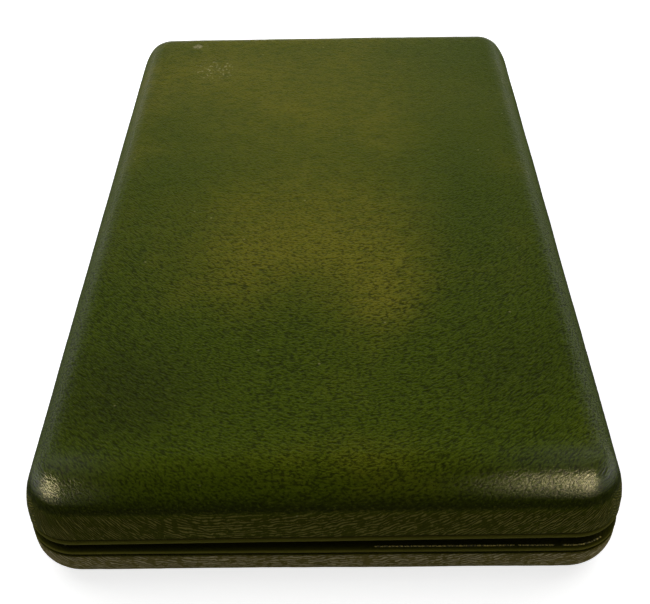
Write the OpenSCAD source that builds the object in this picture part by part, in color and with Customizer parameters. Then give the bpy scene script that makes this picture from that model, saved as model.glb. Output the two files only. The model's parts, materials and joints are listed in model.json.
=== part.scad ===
// Photograph case: two wooden shells covered in leather, hinged along one long side,
// with a sprung push-button catch in the other. Sizes are in millimetres.
// X is the width, with the hinges at -X and the button at +X. Y is the length.
// The case lies flat on Z = 0, under the middle of its base.

/* [Case] */
// Width over the leather, from the hinge side to the button side
case_w = 180; // [150:1:220]
// Length over the leather
case_l = 290; // [220:1:340]
// Height of the shut case
case_h = 44; // [42:0.5:54]
// Height of the base, up to its rim
base_h = 16.8; // [16.4:0.1:20]
// Gap between the two rims when the case is shut
rim_gap = 2.1; // [2:0.1:2.6]
// Angle that the lid stands open at rest, in degrees
lid_ajar = 0.7; // [0.6:0.1:1.4]

/* [Rounded edges] */
// Radius of the four corners in plan
plan_r = 16; // [15:0.5:24]
// How far in over the lid's top its rounded edge reaches
top_in = 14; // [12:0.5:15]
// How far down the lid's sides its rounded edge reaches
top_down = 22; // [17:0.5:22]
// Radius with which the rounded edge runs into the top
top_r = 10; // [7:0.5:11]
// Radius of the base's bottom edge
bottom_r = 11.5; // [7:0.5:12]
// Radius that rounds the leather over each rim
edge_r = 1.1; // [0.6:0.1:1.1]
// Width of the bead between the rim and the crease beside it
bead_w = 2.3; // [2.2:0.1:2.6]
// Radius of the tool that presses the crease
crease_r = 0.45; // [0.3:0.05:0.6]
// Depth of the crease
crease_depth = 0.4; // [0.2:0.05:0.6]

/* [Leather] */
// Thickness of the covering leather
leather_t = 1.2; // [0.9:0.1:1.5]
// Thickness of the leather where it is pared to turn over the rim
turn_t = 0.7; // [0.5:0.1:0.9]
// How far the base's leather turns in under the bottom, past its rounded edge
turn_under = 9; // [6:0.5:14]
// Thickness of the wadding under the lid's leather
wadding_t = 1.5; // [1:0.1:2.5]

/* [Wooden shells] */
// Thickness of the walls
wall_t = 9; // [8.8:0.1:11]
// Thickness of the top and bottom boards
board_t = 4; // [3:0.5:4.5]

/* [Lining] */
// Thickness of the covered lining cards
card_t = 1.8; // [1.2:0.1:2.4]
// How far the base's lining stands above the rim, as a lip inside the lid
lip_h = 5.6; // [4:0.1:7]
// Gap between the lip and the lid's walls
lip_gap = 0.4; // [0.3:0.05:0.8]
// Thickness of the card under each pad
pad_card_t = 1; // [0.6:0.1:1.6]
// Thickness of the floor pad at its edge
floor_pad_t = 1.8; // [1:0.1:3]
// How much fuller the floor pad is in its middle
floor_pad_crown = 0.7; // [0.2:0.1:1.5]
// Thickness of the lid's pad at its edge
lid_pad_t = 2; // [1:0.1:3]
// How much fuller the lid's pad is in its middle
lid_pad_crown = 2.4; // [0.5:0.1:3]

/* [Hinges] */
// Length of each hinge along its pin
hinge_l = 30; // [24:1:40]
// Distance of each hinge's middle from the case's middle
hinge_y = 78; // [60:1:85]
// How far the pins' axis lies inside the outer face
hinge_in = 0.6; // [0.4:0.1:0.8]
// Outer radius of the knuckles
knuckle_r = 1.9; // [1.7:0.1:2.1]
// Radius of the hinge pins
pin_r = 0.8; // [0.6:0.1:1]
// Width of a leaf, from the axis to its free edge
leaf_w = 8; // [7.6:0.1:9]
// Thickness of a leaf
leaf_t = 0.95; // [0.8:0.05:0.95]
// Distance of the leaf screws from the axis
leaf_screw_x = 4.9; // [4.5:0.1:5.5]

/* [Catch] */
// Height of the push button's middle
button_z = 11.2; // [10.8:0.1:11.4]
// Radius of the push button
button_r = 2; // [1.7:0.1:2.1]
// How far the button stands out of the leather
button_proud = 1.6; // [1.4:0.1:2.2]
// How far the button can be pressed
travel = 1.2; // [1:0.05:1.3]
// Radius of the button's stem
stem_r = 1; // [0.8:0.1:1.2]
// Radius of the collar round the button
collar_r = 2.8; // [2.6:0.1:3]
// Thickness of the collar's flange
flange_t = 0.4; // [0.3:0.05:0.6]
// How far the collar's flange is let into the leather
flange_sunk = 0.6; // [0.5:0.05:0.8]
// Thickness of the slide plate
slide_t = 1; // [0.8:0.1:1.2]
// Thickness of the lid's hook
hook_t = 0.8; // [0.6:0.1:1]
// Width of the lid's hook
hook_w = 6; // [4:0.5:7]
// How far the hook's tooth reaches under the slide
tooth = 0.7; // [0.5:0.05:0.8]
// Thickness of the two brass plates let into the rims
plate_t = 1; // [0.9:0.1:1.3]
// Thickness of the catch box's sheet
sheet_t = 0.5; // [0.4:0.05:0.6]
// Length of the rim plate
plate_l = 29; // [27:0.5:34]
// Length of the lid's hook plate
hook_plate_l = 20; // [18:0.5:24]

/* [Screws] */
// Radius of a screw's head
head_r = 1.4; // [1.2:0.1:1.5]
// Radius of a screw's shank
shank_r = 0.7; // [0.5:0.1:0.8]
// Length of a screw
screw_l = 6; // [4:0.5:7]
// Distance between neighbouring screws of a hinge leaf
screw_step = 10; // [8:0.5:11]

/* [Hidden] */
$fn = 64;

// Colours
leather_green = "#34400f";
wood_pale = "#b08f63";
velvet_green = "#2b3f2a";
silk_green = "#5d6f3c";
card_grey = "#a39d8d";
brass = "#b58d3d";
steel = "#8d8f92";
wadding_white = "#d8d2c2";

// Clearances: between parts of a fit, round a bore, and between glued or seated pieces
run_gap = 0.15;
bore_gap = 0.04;
seat_gap = 0.05;
past = 1; // how far a cutting shape runs past the surface that it cuts

// Heights of the shut case
board_top = leather_t + board_t;
base_wood_top = base_h - turn_t;
lid_rim = base_h + rim_gap;
lid_h = case_h - lid_rim;
lid_wood_bottom = lid_rim + turn_t;
lid_board_top = case_h - leather_t - wadding_t;
lid_board_bottom = lid_board_top - board_t;
lip_top = base_h + lip_h;
lid_lining_bottom = lip_top + lip_gap;

// The lid's rounded edge stops short of the crease, and its two arcs touch on the line through
// both centres. Each is fuller by a hair than the one before, so that they cross cleanly.
edge_down = min(top_down, lid_h - bead_w - crease_r);
side_r = (top_in * top_in - top_r * top_r + pow(edge_down - top_r, 2)) / (2 * (top_in - top_r));
hair = 0.01;

// The two cavities have square corners, and the lid's is wider by the lip's gap
base_in = leather_t + wall_t;
lid_in = base_in - lip_gap;
lining_in = base_in + seat_gap;
lid_lining_in = lid_in + seat_gap;
pad_clear = 0.3; // between a pad and the linings round it

// The hinge axis lies in the middle of the rims' gap
axis_x = -case_w / 2 + hinge_in;
axis_z = base_h + rim_gap / 2;
leaf_gap = rim_gap - 2 * leaf_t; // between the leaves of a shut hinge, which lie on the rims
relief_r = knuckle_r + 0.3;
leaf_screws = [-screw_step, 0, screw_step];
knuckle_l = hinge_l / 3;

// The catch, from the outer face inwards: bar, window, hook, nose, all inside the box
box_out = 2.7;
bar_t = 0.8;
bar_in = box_out + sheet_t + 0.1;
window_in = bar_in + bar_t;
hook_in = window_in + travel + run_gap;
nose_in = hook_in + hook_t + run_gap;
nose_t = 1.1;
box_in = nose_in + nose_t + travel + run_gap + sheet_t;
slide_top = button_z + slide_t / 2;
slide_bottom = button_z - slide_t / 2;
window_l = hook_w + 0.8;
arm_t = 1.2;
spring_y = window_l / 2 + arm_t + 2;
bar_l = 2 * (spring_y + 1.4);
box_l = bar_l + 2 * (sheet_t + 0.4);
bar_h = 2.4;
spring_r = 0.9;
wire_r = 0.2;
spring_turns = 4;
plate_screw_y = (plate_l + box_l) / 4;
hook_screw_y = (hook_plate_l + hook_w) / 4;
plate_from = box_out + 0.3;
plate_to = box_in + 0.1;
hook_plate_from = hook_in - 2;
hook_plate_to = hook_in + hook_t + 2.4;

// At rest the tooth's slope stands on the slide's edge, and the lid is up by the lift
lift = (case_w / 2 - hook_in - axis_x) * sin(lid_ajar);
hook_bottom = slide_top - run_gap + seat_gap - lift;
tooth_top = slide_bottom - run_gap;
box_floor = hook_bottom - 0.4;
stem_end = bar_in;
button_end = box_out - travel - run_gap;

// Distance from the case's middle of a place that lies a given distance in from the outer face
function from_mid_x(inset) = case_w / 2 - inset;
function from_mid_y(inset) = case_l / 2 - inset;

// Sections and sweeps

// Sweeps a section round the case: x is the distance in from the outer face, y the height
module around() {
    straight_x = case_w - 2 * plan_r;
    straight_y = case_l - 2 * plan_r;
    for (turn = [0, 180]) rotate(turn) {
        translate([case_w / 2, 0, 0]) rotate([90, 0, 0])
            linear_extrude(straight_y, center = true) mirror([1, 0]) children();
        translate([0, case_l / 2, 0]) rotate([90, 0, 90])
            linear_extrude(straight_x, center = true) mirror([1, 0]) children();
        for (side = [0, 1]) mirror([side, 0, 0])
            translate([straight_x / 2, straight_y / 2, 0])
                rotate_extrude(angle = 90) translate([plan_r, 0]) mirror([1, 0]) children();
    }
}

// Section of a shell, taken in by the skin's thickness. Its rounded corner reaches in over the
// flat face and along the side, and is filled by the child.
module section(top, reach, skin) {
    translate([reach.x, skin]) square([plan_r - reach.x, top - skin]);
    translate([skin, reach.y]) square([plan_r - skin, top - reach.y]);
    children();
}

module base_section(top, skin) {
    section(top, [bottom_r, bottom_r], skin) intersection() {
        translate([bottom_r, bottom_r]) circle(bottom_r - skin);
        square(bottom_r);
    }
}

// A wide arc up the side runs into a tighter one at the top
module lid_section(top, skin) {
    centre = [top_in, top_r];
    lean = atan2(edge_down - top_r, side_r - top_in);
    far = centre - 2 * side_r * [cos(lean), sin(lean)];
    section(top, [top_in, edge_down], skin) intersection() {
        translate([skin, skin]) square([top_in - skin, edge_down - skin]);
        union() {
            translate(centre) circle(top_r + 2 * hair - skin);
            intersection() {
                translate([side_r, edge_down]) circle(side_r + hair - skin);
                polygon([centre, [top_in, edge_down], [-past, edge_down], far]);
            }
        }
    }
}

// Section of the leather's outside: the child, with its rim rounded and the crease that
// makes its bead
module leather_section(top) {
    difference() {
        children();
        difference() {
            translate([-past, top - edge_r]) square(edge_r + past);
            translate([edge_r, top - edge_r]) circle(edge_r);
        }
        translate([crease_depth - crease_r, top - bead_w]) circle(crease_r);
    }
}

// Solid shell: the section swept round the case, and its middle filled
module shell(top, skin) {
    around() children();
    translate([plan_r - case_w / 2, plan_r - case_l / 2, skin])
        cube([case_w - 2 * plan_r, case_l - 2 * plan_r, top - skin]);
}

// The lid is built shut, from its top down, and then set ajar about the hinge axis
module from_top() { translate([0, 0, case_h]) mirror([0, 0, 1]) children(); }
module ajar() {
    translate([axis_x, 0, axis_z]) rotate([0, -lid_ajar, 0])
        translate([-axis_x, 0, -axis_z]) children();
}

// A block in plan that stays a given distance in from the outer faces
module inner_block(inset, low, high) {
    translate([-from_mid_x(inset), -from_mid_y(inset), low])
        cube([2 * from_mid_x(inset), 2 * from_mid_y(inset), high - low]);
}

// A slab over the whole plan, to split a shell into its walls and its board
module slab(low, high) { inner_block(-past, low, high); }

// A block beside the button, given by its distances in from that face, its length and heights
module button_side_block(from, to, length, low, high) {
    translate([from_mid_x(to), -length / 2, low]) cube([to - from, length, high - low]);
}

// Woodwork

module base_wood() { shell(base_wood_top, leather_t) base_section(base_wood_top, leather_t); }
module lid_wood() {
    wood_h = case_h - lid_wood_bottom;
    from_top() shell(wood_h, leather_t) lid_section(wood_h, leather_t);
}

module base_wall_frame() {
    color(wood_pale) difference() {
        base_wood();
        slab(0, board_top);
        inner_block(base_in, board_top - past, base_h);
        hinge_pockets(1);
        catch_pocket();
        button_bore(collar_tube_r());
        base_screws(bore_gap);
    }
}

module base_bottom_board() {
    color(wood_pale) intersection() {
        base_wood();
        slab(0, board_top - seat_gap);
    }
}

module lid_wall_frame() {
    color(wood_pale) ajar() difference() {
        lid_wood();
        slab(lid_board_bottom, case_h);
        inner_block(lid_in, lid_rim, lid_board_bottom + past);
        hinge_pockets(-1);
        hook_pocket();
        lid_screws(bore_gap);
    }
}

module lid_top_board() {
    color(wood_pale) ajar() intersection() {
        lid_wood();
        slab(lid_board_bottom + seat_gap, lid_board_top);
    }
}

module lid_wadding() {
    color(wadding_white) ajar() intersection() {
        lid_wood();
        slab(lid_board_top + seat_gap, case_h);
    }
}

// Leather

module base_leather() {
    color(leather_green) difference() {
        shell(base_h, 0) leather_section(base_h) base_section(base_h, 0);
        base_wood();
        inner_block(base_in, leather_t + seat_gap, base_h + past);
        inner_block(bottom_r + turn_under, -past, board_top);
        hinge_pockets(1);
        button_side_block(plate_from - seat_gap, base_in, plate_l + 2 * seat_gap,
            base_wood_top - past, base_h + past);
        base_screws(bore_gap);
        button_bore(collar_tube_r());
        along_button(-past, flange_sunk + seat_gap, collar_r + seat_gap);
    }
}

module base_underside() {
    color(leather_green) inner_block(bottom_r + turn_under + run_gap, 0, leather_t);
}

module lid_leather() {
    color(leather_green) ajar() difference() {
        from_top() shell(lid_h, 0) leather_section(lid_h) lid_section(lid_h, 0);
        lid_wood();
        inner_block(lid_in, lid_rim - past, case_h - leather_t - wadding_t);
        hinge_pockets(-1);
        button_side_block(hook_plate_from - seat_gap, hook_plate_to + seat_gap,
            hook_plate_l + 2 * seat_gap, lid_rim - past, lid_wood_bottom + past);
        lid_screws(bore_gap);
    }
}

// Lining: covered cards with round top edges, standing against the walls

module lining_card(length, low, high) {
    rotate([90, 0, 0]) linear_extrude(length, center = true) {
        translate([0, low]) square([card_t, high - low - card_t / 2]);
        translate([card_t / 2, high - card_t / 2]) circle(card_t / 2);
    }
}

// end = 0 puts the card along the near or far wall, and end = 90 along a long wall
module base_lining(turn, wall) {
    across = turn == 0 || turn == 180;
    length = across ? 2 * from_mid_y(lining_in + card_t) - 2 * seat_gap : 2 * from_mid_x(lining_in);
    rotate(turn) translate([-wall, 0, 0]) lining_card(length, board_top, lip_top);
}

module lid_lining(turn, wall) {
    across = turn == 0 || turn == 180;
    length = across ? 2 * from_mid_y(lid_lining_in + card_t) - 2 * seat_gap
                    : 2 * from_mid_x(lid_lining_in);
    ajar() rotate(turn) translate([-wall, 0, lid_board_bottom + lid_lining_bottom])
        mirror([0, 0, 1]) lining_card(length, lid_lining_bottom, lid_board_bottom);
}

module base_lining_hinge() { color(velvet_green) base_lining(0, from_mid_x(lining_in)); }
module base_lining_button() { color(velvet_green) base_lining(180, from_mid_x(lining_in)); }
module base_lining_near() { color(velvet_green) base_lining(90, from_mid_y(lining_in)); }
module base_lining_far() { color(velvet_green) base_lining(270, from_mid_y(lining_in)); }
module lid_lining_hinge() { color(silk_green) lid_lining(0, from_mid_x(lid_lining_in)); }
module lid_lining_button() { color(silk_green) lid_lining(180, from_mid_x(lid_lining_in)); }
module lid_lining_near() { color(silk_green) lid_lining(90, from_mid_y(lid_lining_in)); }
module lid_lining_far() { color(silk_green) lid_lining(270, from_mid_y(lid_lining_in)); }

// A pad on its own card: a flat back, straight edges and a crown that is fullest in the middle
pad_cols = 14;
pad_rows = 20;
function fullness(t) = 1 - pow(abs(t), 4);
function pad_point(half_x, half_y, thick, crown, col, row) =
    let (u = 2 * col / pad_cols - 1, v = 2 * row / pad_rows - 1)
    [half_x * u, half_y * v, thick + crown * fullness(u) * fullness(v)];

module pad(half_x, half_y, thick, crown) {
    across = pad_cols + 1;
    top = [for (row = [0 : pad_rows], col = [0 : pad_cols])
        pad_point(half_x, half_y, thick, crown, col, row)];
    function at(col, row) = row * across + col;
    rim = concat(
        [for (col = [0 : pad_cols - 1]) at(col, 0)],
        [for (row = [0 : pad_rows - 1]) at(pad_cols, row)],
        [for (col = [pad_cols : -1 : 1]) at(col, pad_rows)],
        [for (row = [pad_rows : -1 : 1]) at(0, row)]);
    edge = len(top); // first of the back's edge points, which end with the back's middle
    count = len(rim);
    back = concat([for (i = rim) [top[i].x, top[i].y, 0]], [[0, 0, 0]]);
    crown_faces = [for (row = [0 : pad_rows - 1], col = [0 : pad_cols - 1], half = [0, 1])
        half == 0 ? [at(col, row), at(col, row + 1), at(col + 1, row + 1)]
                  : [at(col, row), at(col + 1, row + 1), at(col + 1, row)]];
    side_faces = [for (i = [0 : count - 1], half = [0, 1])
        let (next = (i + 1) % count)
        half == 0 ? [rim[i], rim[next], edge + next] : [rim[i], edge + next, edge + i]];
    back_faces = [for (i = [0 : count - 1]) [edge + i, edge + (i + 1) % count, edge + count]];
    faces = concat(crown_faces, side_faces, back_faces);
    polyhedron(concat(top, back), faces);
}

module pad_card(inset, low, high) { inner_block(inset, low, high); }
base_pad_in = lining_in + card_t + pad_clear;
lid_pad_in = lid_lining_in + card_t + pad_clear;
floor_card_top = board_top + pad_card_t;
lid_card_bottom = lid_board_bottom - pad_card_t;

module floor_pad_card() { color(card_grey) pad_card(base_pad_in, board_top, floor_card_top); }
module floor_pad() {
    color(velvet_green) translate([0, 0, floor_card_top])
        pad(from_mid_x(base_pad_in), from_mid_y(base_pad_in), floor_pad_t, floor_pad_crown);
}
module lid_pad_card() {
    color(card_grey) ajar() pad_card(lid_pad_in, lid_card_bottom, lid_board_bottom);
}
module lid_pad() {
    color(silk_green) ajar() translate([0, 0, lid_card_bottom]) mirror([0, 0, 1])
        pad(from_mid_x(lid_pad_in), from_mid_y(lid_pad_in), lid_pad_t, lid_pad_crown);
}

// Screws, countersunk and slotted, with the head's face at the origin and the point down

slot_w = 0.4;
slot_depth = 0.35;
sink = head_r - shank_r;
module wood_screw(gap = 0) {
    difference() {
        union() {
            translate([0, 0, -sink]) cylinder(sink, shank_r + gap, head_r + gap);
            translate([0, 0, shank_r - screw_l]) cylinder(screw_l - sink, r = shank_r + gap);
            translate([0, 0, -screw_l]) cylinder(shank_r, 0, shank_r + gap);
            if (gap > 0) cylinder(past, r = head_r + gap);
        }
        if (gap == 0) translate([-head_r, -slot_w / 2, -slot_depth])
            cube([2 * head_r, slot_w, slot_depth + past]);
    }
}

leaf_top = axis_z - leaf_gap / 2;
module leaf_screw_set(gap) {
    for (side = [-1, 1], y = leaf_screws)
        translate([axis_x + leaf_screw_x, side * hinge_y + y, leaf_top]) wood_screw(gap);
}
module flipped() { translate([0, 0, 2 * axis_z]) mirror([0, 0, 1]) children(); }

module plate_screw_set(gap) {
    for (side = [-1, 1])
        translate([from_mid_x((plate_from + plate_to) / 2), side * plate_screw_y, base_h])
            wood_screw(gap);
}
module hook_screw_set(gap) {
    for (side = [-1, 1])
        translate([from_mid_x((hook_plate_from + hook_plate_to) / 2), side * hook_screw_y, lid_rim])
            mirror([0, 0, 1]) wood_screw(gap);
}
module base_screws(gap) {
    leaf_screw_set(gap);
    plate_screw_set(gap);
}
module lid_screws(gap) {
    flipped() leaf_screw_set(gap);
    hook_screw_set(gap);
}

module hinge_base_screws() { color(brass) leaf_screw_set(0); }
module hinge_lid_screws() { color(brass) ajar() flipped() leaf_screw_set(0); }
module catch_plate_screws() { color(brass) plate_screw_set(0); }
module lid_hook_screws() { color(brass) ajar() hook_screw_set(0); }

// Hinges

module along_pin(length, radius) {
    rotate([90, 0, 0]) cylinder(length, r = radius, center = true);
}

// Room for both hinges in a rim: up = 1 for the base, -1 for the lid
module hinge_pockets(up) {
    for (side = [-1, 1]) translate([axis_x, side * hinge_y, axis_z]) scale([1, 1, up]) {
        along_pin(hinge_l + 2 * run_gap, relief_r);
        translate([-hinge_in - past, -hinge_l / 2 - run_gap, -leaf_gap / 2 - leaf_t - seat_gap])
            cube([leaf_w + hinge_in + past + seat_gap, hinge_l + 2 * run_gap, 2 * leaf_t]);
    }
}

// One leaf in the shut hinge: places = where its knuckles are, gaps = where the other leaf's are
module leaf(places, gaps) {
    difference() {
        union() {
            translate([0, -hinge_l / 2, -leaf_gap / 2 - leaf_t]) cube([leaf_w, hinge_l, leaf_t]);
            for (y = places) translate([0, y, 0]) along_pin(knuckle_l - run_gap, knuckle_r);
        }
        for (y = gaps) translate([0, y, 0]) along_pin(knuckle_l + run_gap, knuckle_r + run_gap);
        along_pin(hinge_l + past, pin_r + bore_gap);
        for (y = leaf_screws) translate([leaf_screw_x, y, -leaf_gap / 2]) wood_screw(bore_gap);
    }
}

module base_leaf(y) {
    color(brass) translate([axis_x, y, axis_z]) leaf([-knuckle_l, knuckle_l], [0]);
}
module lid_leaf(y) {
    color(brass) ajar() translate([axis_x, y, axis_z]) mirror([0, 0, 1])
        leaf([0], [-knuckle_l, knuckle_l]);
}
module hinge_pin(y) {
    color(steel) translate([axis_x, y, axis_z]) along_pin(hinge_l - 2 * run_gap, pin_r);
}

module near_hinge_base_leaf() { base_leaf(-hinge_y); }
module near_hinge_lid_leaf() { lid_leaf(-hinge_y); }
module near_hinge_pin() { hinge_pin(-hinge_y); }
module far_hinge_base_leaf() { base_leaf(hinge_y); }
module far_hinge_lid_leaf() { lid_leaf(hinge_y); }
module far_hinge_pin() { hinge_pin(hinge_y); }

// Catch

function collar_tube_r() = button_r + bore_gap + 0.35;

module catch_pocket() {
    button_side_block(box_out - seat_gap, box_in + seat_gap, box_l + 2 * seat_gap,
        box_floor - sheet_t, base_h);
    button_side_block(plate_from - seat_gap, plate_to + seat_gap, plate_l + 2 * seat_gap,
        base_h - plate_t, base_h);
}

module hook_pocket() {
    button_side_block(hook_plate_from - seat_gap, hook_plate_to + seat_gap,
        hook_plate_l + 2 * seat_gap, lid_rim, lid_rim + plate_t);
}

// A round hole or shaft along X at the button, from the outer face inwards
module along_button(from, to, radius) {
    translate([from_mid_x(to), 0, button_z]) rotate([0, 90, 0]) cylinder(to - from, r = radius);
}
module button_bore(radius) { along_button(-past, box_out + past, radius + seat_gap); }

module catch_box() {
    color(brass) difference() {
        button_side_block(box_out, box_in, box_l, box_floor - sheet_t + seat_gap,
            base_h - plate_t - seat_gap);
        button_side_block(box_out + sheet_t, box_in - sheet_t, box_l - 2 * sheet_t,
            box_floor + seat_gap, base_h);
        along_button(box_out - past, box_out + sheet_t + past, stem_r + run_gap);
    }
}

module catch_rim_plate() {
    slot_from = hook_in - 2 * run_gap;
    slot_to = hook_in + hook_t + tooth + 2 * run_gap;
    color(brass) difference() {
        button_side_block(plate_from, plate_to, plate_l, base_h - plate_t, base_h);
        button_side_block(slot_from, slot_to, hook_w + 4 * run_gap,
            base_h - plate_t - past, base_h + past);
        plate_screw_set(bore_gap);
    }
}

module catch_slide() {
    color(brass) difference() {
        union() {
            button_side_block(bar_in, window_in, bar_l, button_z - bar_h / 2, button_z + bar_h / 2);
            button_side_block(window_in, nose_in + nose_t, window_l + 2 * arm_t,
                slide_bottom, slide_top);
        }
        button_side_block(window_in, nose_in, window_l, slide_bottom - past, slide_top + past);
    }
}

// Coil springs between the slide's bar and the box's inner wall, as one swept tube each
spring_from = window_in + seat_gap;
spring_to = box_in - sheet_t - seat_gap;
wire_sides = 6;
turn_steps = 16;
function coil_point(t) = let (a = 360 * spring_turns * t)
    [spring_r * cos(a), spring_r * sin(a), wire_r + (spring_to - spring_from - 2 * wire_r) * t];
function ring(t, side) =
    let (a = 360 * spring_turns * t, b = 360 * side / wire_sides, c = coil_point(t),
        out = [cos(a), sin(a), 0])
    c + wire_r * (cos(b) * out + sin(b) * [0, 0, 1]);

module coil_spring() {
    steps = spring_turns * turn_steps;
    points = [for (i = [0 : steps], s = [0 : wire_sides - 1]) ring(i / steps, s)];
    last = steps * wire_sides;
    walls = [for (i = [0 : steps - 1], s = [0 : wire_sides - 1], half = [0, 1])
        let (a = i * wire_sides + s, b = i * wire_sides + (s + 1) % wire_sides)
        half == 0 ? [a, a + wire_sides, b + wire_sides] : [a, b + wire_sides, b]];
    ends = [[for (s = [0 : wire_sides - 1]) s], [for (s = [wire_sides - 1 : -1 : 0]) last + s]];
    polyhedron(points, concat(walls, ends));
}

module catch_springs() {
    color(steel) for (side = [-1, 1])
        translate([from_mid_x(spring_from), side * spring_y, button_z]) rotate([0, -90, 0])
            coil_spring();
}

button_dome = 0.5;
module push_button() {
    color(brass) {
        along_button(button_dome - button_proud, button_end, button_r);
        along_button(-button_proud, button_dome - button_proud, button_r - button_dome);
        translate([from_mid_x(button_dome - button_proud), 0, button_z]) rotate([0, 90, 0])
            rotate_extrude() intersection() {
                translate([button_r - button_dome, 0]) circle(button_dome);
                square(button_r);
            }
        along_button(button_end, stem_end, stem_r);
    }
}

module button_collar() {
    color(brass) difference() {
        union() {
            along_button(-flange_t, flange_sunk, collar_r);
            along_button(flange_sunk, button_end, collar_tube_r());
        }
        along_button(-past, box_out, button_r + bore_gap);
    }
}

module lid_hook() {
    color(brass) ajar() difference() {
        union() {
            button_side_block(hook_plate_from, hook_plate_to, hook_plate_l,
                lid_rim, lid_rim + plate_t);
            translate([0, hook_w / 2, 0]) rotate([90, 0, 0]) linear_extrude(hook_w) polygon([
                [from_mid_x(hook_in), lid_rim],
                [from_mid_x(hook_in), hook_bottom],
                [from_mid_x(hook_in + hook_t), hook_bottom],
                [from_mid_x(hook_in + hook_t + tooth), hook_bottom + tooth],
                [from_mid_x(hook_in + hook_t + tooth), tooth_top],
                [from_mid_x(hook_in + hook_t), tooth_top],
                [from_mid_x(hook_in + hook_t), lid_rim]]);
        }
        hook_screw_set(bore_gap);
    }
}

base_wall_frame();
base_bottom_board();
base_leather();
base_underside();
base_lining_near();
base_lining_far();
base_lining_hinge();
base_lining_button();
floor_pad_card();
floor_pad();
lid_wall_frame();
lid_top_board();
lid_wadding();
lid_leather();
lid_lining_near();
lid_lining_far();
lid_lining_hinge();
lid_lining_button();
lid_pad_card();
lid_pad();
near_hinge_base_leaf();
near_hinge_lid_leaf();
near_hinge_pin();
far_hinge_base_leaf();
far_hinge_lid_leaf();
far_hinge_pin();
hinge_base_screws();
hinge_lid_screws();
catch_box();
catch_rim_plate();
catch_plate_screws();
catch_slide();
catch_springs();
push_button();
button_collar();
lid_hook();
lid_hook_screws();
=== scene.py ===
import functools
import json
import math
import random

import bmesh
import bpy
import numpy as np
from mathutils import Matrix, Vector, noise


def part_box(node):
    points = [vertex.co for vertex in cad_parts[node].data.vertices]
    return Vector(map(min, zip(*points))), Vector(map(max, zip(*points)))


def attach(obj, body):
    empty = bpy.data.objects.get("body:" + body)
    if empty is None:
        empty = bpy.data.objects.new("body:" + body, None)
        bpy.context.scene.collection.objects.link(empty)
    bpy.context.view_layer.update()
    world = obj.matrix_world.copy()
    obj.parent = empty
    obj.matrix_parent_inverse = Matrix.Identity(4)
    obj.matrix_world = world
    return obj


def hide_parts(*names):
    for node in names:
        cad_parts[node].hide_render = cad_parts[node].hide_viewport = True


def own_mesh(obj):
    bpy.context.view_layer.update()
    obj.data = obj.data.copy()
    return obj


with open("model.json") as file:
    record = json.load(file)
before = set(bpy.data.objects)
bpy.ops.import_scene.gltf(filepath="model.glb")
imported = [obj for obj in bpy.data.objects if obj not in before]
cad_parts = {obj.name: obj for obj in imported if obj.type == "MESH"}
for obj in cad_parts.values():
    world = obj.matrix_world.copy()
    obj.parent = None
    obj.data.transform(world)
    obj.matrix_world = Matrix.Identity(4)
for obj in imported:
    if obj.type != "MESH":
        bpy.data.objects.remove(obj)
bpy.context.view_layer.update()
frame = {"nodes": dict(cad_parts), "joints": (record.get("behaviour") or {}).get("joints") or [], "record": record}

# A leather-covered case for photographs. Shapes are worked out in millimetres in the shut case,
# in the frame's own axes, and go to metres when their meshes are made.
mm = 0.001
scene = bpy.context.scene
scene.view_settings.view_transform = "Standard"

case = {
    "height": 44.0,  # of the shut case
    "planRadius": 16.0,  # corners seen from above
    "topIn": 14.0,  # how far the lid's round edge reaches in over the top
    "topDown": 22.0,  # and how far it reaches down the sides
    "topRadius": 10.0,  # where the edge runs into the top
    "bottomRadius": 11.5,
    "turnUnder": 9.0,  # leather turned in under the base, past the round edge
    "leather": 1.2,
    "turned": 0.7,  # leather pared thin over the rims
    "baseRim": 10.2,  # width of the base's rim, from the outer face to the cavity
    "lidRim": 9.8,
    "squareFrom": 4.0,  # from where on the rims' corners turn square
    "turnIn": 0.2,  # leather pared thinner still, up the inside of the lid's rim
    "bead": 2.3,  # from the rim to the crease
    "creaseDepth": 0.75,
}

leatherLow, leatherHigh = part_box("base_leather")
width = (leatherHigh.x - leatherLow.x) / mm
length = (leatherHigh.y - leatherLow.y) / mm
baseHeight = leatherHigh.z / mm

hinge = next(joint for joint in frame["joints"] if joint["name"] == "lid_hinge")
hingeAt = Vector(hinge["pos_m"]) / mm
rimGap = 2 * (hingeAt.z - baseHeight)
lidHeight = case["height"] - baseHeight - rimGap
ajarAngle = -math.radians(hinge["range_deg"][0])

# The lid's pieces are made shut, and this turns them about the hinge to their place at rest
toAjar = (Matrix.Translation(hingeAt) @ Matrix.Rotation(-ajarAngle, 4, "Y")
          @ Matrix.Translation(-hingeAt))
turnOf = {"base": None, "lid": toAjar}
lidNodes = frame["record"]["behaviour"]["bodies"]["lid"]
# Height of each shell's rim, and the way that the shell goes from it
rims = {"base": (baseHeight, -1), "lid": (baseHeight + rimGap, 1)}


# Small helpers

sharpAngle = 48  # degrees between faces from which their edge stays sharp


def linearColour(hexCode):
    parts = [int(hexCode[i:i + 2], 16) / 255 for i in (0, 2, 4)]
    linear = [c / 12.92 if c <= 0.04045 else ((c + 0.055) / 1.055) ** 2.4 for c in parts]
    return (*linear, 1.0)


def addNode(tree, kind, inputs=(), output=None, **settings):
    # inputs are in the node's own order, or under their names or numbers. Each is a value, a
    # colour's hex code or the socket that feeds it.
    node = tree.nodes.new("ShaderNode" + kind)
    for key, value in settings.items():
        setattr(node, key, value)
    for key, value in inputs.items() if isinstance(inputs, dict) else enumerate(inputs):
        if isinstance(value, bpy.types.NodeSocket):
            tree.links.new(value, node.inputs[key])
        else:
            plain = linearColour(value) if isinstance(value, str) else value
            node.inputs[key].default_value = plain
    return node if output is None else node.outputs[output]


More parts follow.
